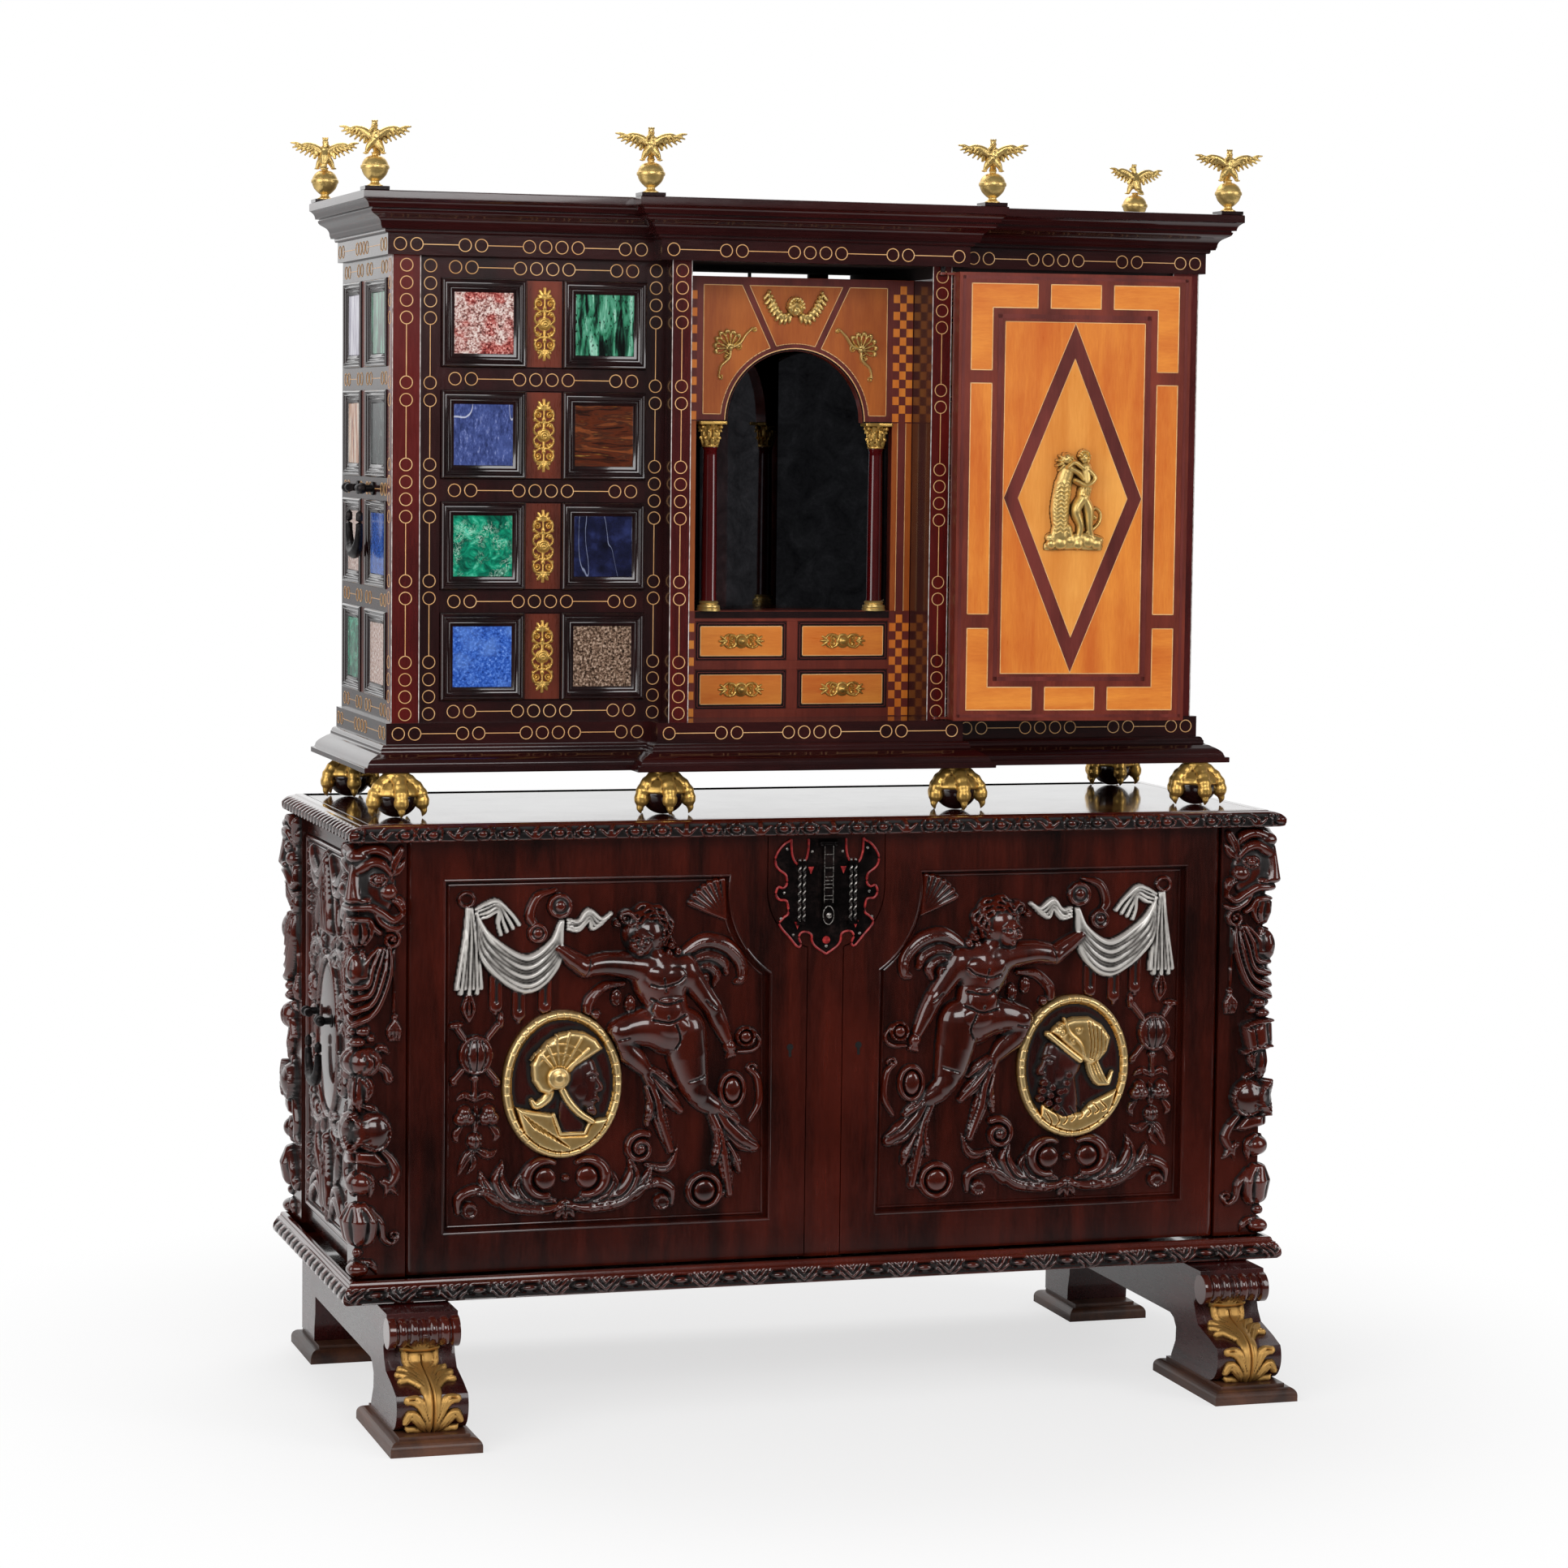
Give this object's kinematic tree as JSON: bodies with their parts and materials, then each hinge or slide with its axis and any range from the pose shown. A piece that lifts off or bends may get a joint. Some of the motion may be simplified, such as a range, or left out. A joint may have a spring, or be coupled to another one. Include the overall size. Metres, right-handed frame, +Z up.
{
  "type": "cabinet on stand",
  "caption": "Drawer cabinet with framed stone panels and an arched mirrored niche behind a swinging door, set on a carved two-door stand with scrolled trestle feet.",
  "frame": {"origin": "on the floor, at the centre of the bounding box", "axes": "+X to the viewer's right, +Y to the back, +Z up; the doors and drawers face -Y"},
  "size_m": [1.616, 0.85, 2.075],
  "materials": {
    "dark_wood": "ebonised dark red-brown, polished",
    "mahogany": "polished mahogany",
    "gilt": "warm gilding",
    "iron": "blackened iron",
    "stone": "polished hard stone",
    "red_shaft": "dark red, polished",
    "mirror": "dark antique mirror"
  },
  "bodies": {
    "case": {"foot_plates": "dark_wood", "trestles": "dark_wood", "foot_leaves": "gilt", "base_moulding": "dark_wood", "stand_carcass": "dark_wood", "centre_stile": "dark_wood", "stand_top": "dark_wood", "stand_carving": "dark_wood", "lock_plate": "iron", "pivot_pins": "iron", "handle_bosses": "iron", "ball_feet": "dark_wood", "claw_feet": "gilt", "cabinet_base": "dark_wood", "cabinet_carcass": "dark_wood", "front_frame": "dark_wood", "cornice": "dark_wood", "side_mouldings": "dark_wood", "side_stones": "stone", "finials": "gilt", "right_drawers": "dark_wood", "right_stones": "stone", "right_mounts": "gilt", "niche_case": "mahogany", "niche_mirrors": "mirror", "columns": "red_shaft", "niche_gilding": "gilt"},
    "left_stand_door": {"stand_door_left": "dark_wood", "relief_left": "dark_wood", "medallion_left": "gilt"},
    "right_stand_door": {"stand_door_right": "dark_wood", "relief_right": "dark_wood", "medallion_right": "gilt"},
    "hasp_strap": {"hasp": "iron"},
    "stand_bail_left": {"stand_handle_left": "iron"},
    "stand_bail_right": {"stand_handle_right": "iron"},
    "cabinet_bail_left": {"cabinet_handle_left": "iron"},
    "cabinet_bail_right": {"cabinet_handle_right": "iron"},
    "niche_door": {"middle_door": "mahogany", "door_figure": "gilt"},
    "left_drawer_1": {"drawer_1": "dark_wood", "stones_1": "stone", "mount_1": "gilt"},
    "left_drawer_2": {"drawer_2": "dark_wood", "stones_2": "stone", "mount_2": "gilt"},
    "left_drawer_3": {"drawer_3": "dark_wood", "stones_3": "stone", "mount_3": "gilt"},
    "left_drawer_4": {"drawer_4": "dark_wood", "stones_4": "stone", "mount_4": "gilt"},
    "niche_drawer_1": {"small_drawer_1": "mahogany", "pull_1": "gilt"},
    "niche_drawer_2": {"small_drawer_2": "mahogany", "pull_2": "gilt"},
    "niche_drawer_3": {"small_drawer_3": "mahogany", "pull_3": "gilt"},
    "niche_drawer_4": {"small_drawer_4": "mahogany", "pull_4": "gilt"}
  },
  "joints": [
    {"name": "left_stand_door_hinge", "type": "hinge", "parent": "case", "child": "left_stand_door", "pos_m": [-0.6865, -0.202, 0.6], "axis": [0, 0, -1], "range_deg": [0, 95]},
    {"name": "right_stand_door_hinge", "type": "hinge", "parent": "case", "child": "right_stand_door", "pos_m": [0.6865, -0.202, 0.6], "axis": [0, 0, 1], "range_deg": [0, 95]},
    {"name": "hasp_hinge", "type": "hinge", "parent": "case", "child": "hasp_strap", "pos_m": [0, -0.2232, 0.926], "axis": [-1, 0, 0], "range_deg": [0, 100]},
    {"name": "niche_door_hinge", "type": "hinge", "parent": "case", "child": "niche_door", "pos_m": [0.223, -0.1083, 1.49], "axis": [0, 0, 1], "range_deg": [-174.4, 5.6]},
    {"name": "cabinet_handle_left_hinge", "type": "hinge", "parent": "case", "child": "cabinet_bail_left", "pos_m": [-0.717, 0.134, 1.494], "axis": [0, 1, 0], "range_deg": [0, 95]},
    {"name": "cabinet_handle_right_hinge", "type": "hinge", "parent": "case", "child": "cabinet_bail_right", "pos_m": [0.717, 0.134, 1.494], "axis": [0, -1, 0], "range_deg": [0, 95]},
    {"name": "stand_handle_left_hinge", "type": "hinge", "parent": "case", "child": "stand_bail_left", "pos_m": [-0.7962, 0.0655, 0.62515], "axis": [0, 1, 0], "range_deg": [0, 95]},
    {"name": "stand_handle_right_hinge", "type": "hinge", "parent": "case", "child": "stand_bail_right", "pos_m": [0.7962, 0.0655, 0.62515], "axis": [0, -1, 0], "range_deg": [0, 95]},
    {"name": "drawer_1_slide", "type": "slide", "parent": "case", "child": "left_drawer_1", "axis": [0, -1, 0], "range_m": [0, 0.22]},
    {"name": "drawer_2_slide", "type": "slide", "parent": "case", "child": "left_drawer_2", "axis": [0, -1, 0], "range_m": [0, 0.22]},
    {"name": "drawer_3_slide", "type": "slide", "parent": "case", "child": "left_drawer_3", "axis": [0, -1, 0], "range_m": [0, 0.22]},
    {"name": "drawer_4_slide", "type": "slide", "parent": "case", "child": "left_drawer_4", "axis": [0, -1, 0], "range_m": [0, 0.22]},
    {"name": "small_drawer_1_slide", "type": "slide", "parent": "case", "child": "niche_drawer_1", "axis": [0, -1, 0], "range_m": [0, 0.1]},
    {"name": "small_drawer_2_slide", "type": "slide", "parent": "case", "child": "niche_drawer_2", "axis": [0, -1, 0], "range_m": [0, 0.1]},
    {"name": "small_drawer_3_slide", "type": "slide", "parent": "case", "child": "niche_drawer_3", "axis": [0, -1, 0], "range_m": [0, 0.1]},
    {"name": "small_drawer_4_slide", "type": "slide", "parent": "case", "child": "niche_drawer_4", "axis": [0, -1, 0], "range_m": [0, 0.1]}
  ]
}
